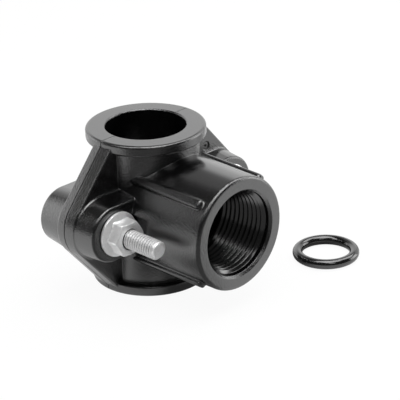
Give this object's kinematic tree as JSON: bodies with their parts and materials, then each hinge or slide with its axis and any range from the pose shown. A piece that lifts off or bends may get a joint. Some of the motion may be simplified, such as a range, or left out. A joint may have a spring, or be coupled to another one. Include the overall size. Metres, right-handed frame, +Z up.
{
  "type": "clamp-on tapping saddle",
  "caption": "Two-part plastic clamp saddle for a pipe, with a ribbed female threaded outlet, through bolts with flange nuts and a rubber seal ring.",
  "frame": {"origin": "the point where the pipe axis crosses the outlet axis, in the parting plane of the clamp", "axes": "+Z up along the pipe axis, -Y out of the threaded outlet, the bolts at -X and +X parallel to Y"},
  "size_m": [0.0897, 0.064, 0.05],
  "materials": {
    "black_plastic": "satin moulded black polypropylene with a fine grain",
    "black_rubber": "smooth moulded nitrile rubber, slightly glossy",
    "zinc_steel": "bright zinc-plated steel with rolled threads"
  },
  "bodies": {
    "outlet_clamp": {"outlet_half": "black_plastic", "seal_ring": "black_rubber"},
    "back_clamp": {"back_half": "black_plastic", "left_bolt": "zinc_steel", "right_bolt": "zinc_steel"},
    "left_nut": {"left_flange_nut": "zinc_steel"},
    "right_nut": {"right_flange_nut": "zinc_steel"}
  },
  "joints": [
    {"name": "clamp_opening", "type": "slide", "parent": "outlet_clamp", "child": "back_clamp", "axis": [0, 1, 0], "range_m": [0, 0.012]},
    {"name": "left_nut_spin", "type": "hinge", "parent": "outlet_clamp", "child": "left_nut", "pos_m": [-0.024, 0, 0], "axis": [0, -1, 0], "range_deg": [0, 4321]},
    {"name": "right_nut_spin", "type": "hinge", "parent": "outlet_clamp", "child": "right_nut", "pos_m": [0.024, 0, 0], "axis": [0, -1, 0], "range_deg": [0, 4321]}
  ],
  "couplings": [
    {"joint": "left_nut_spin", "follows": "clamp_opening", "rad_per_m": 6283.2},
    {"joint": "right_nut_spin", "follows": "clamp_opening", "rad_per_m": 6283.2}
  ]
}
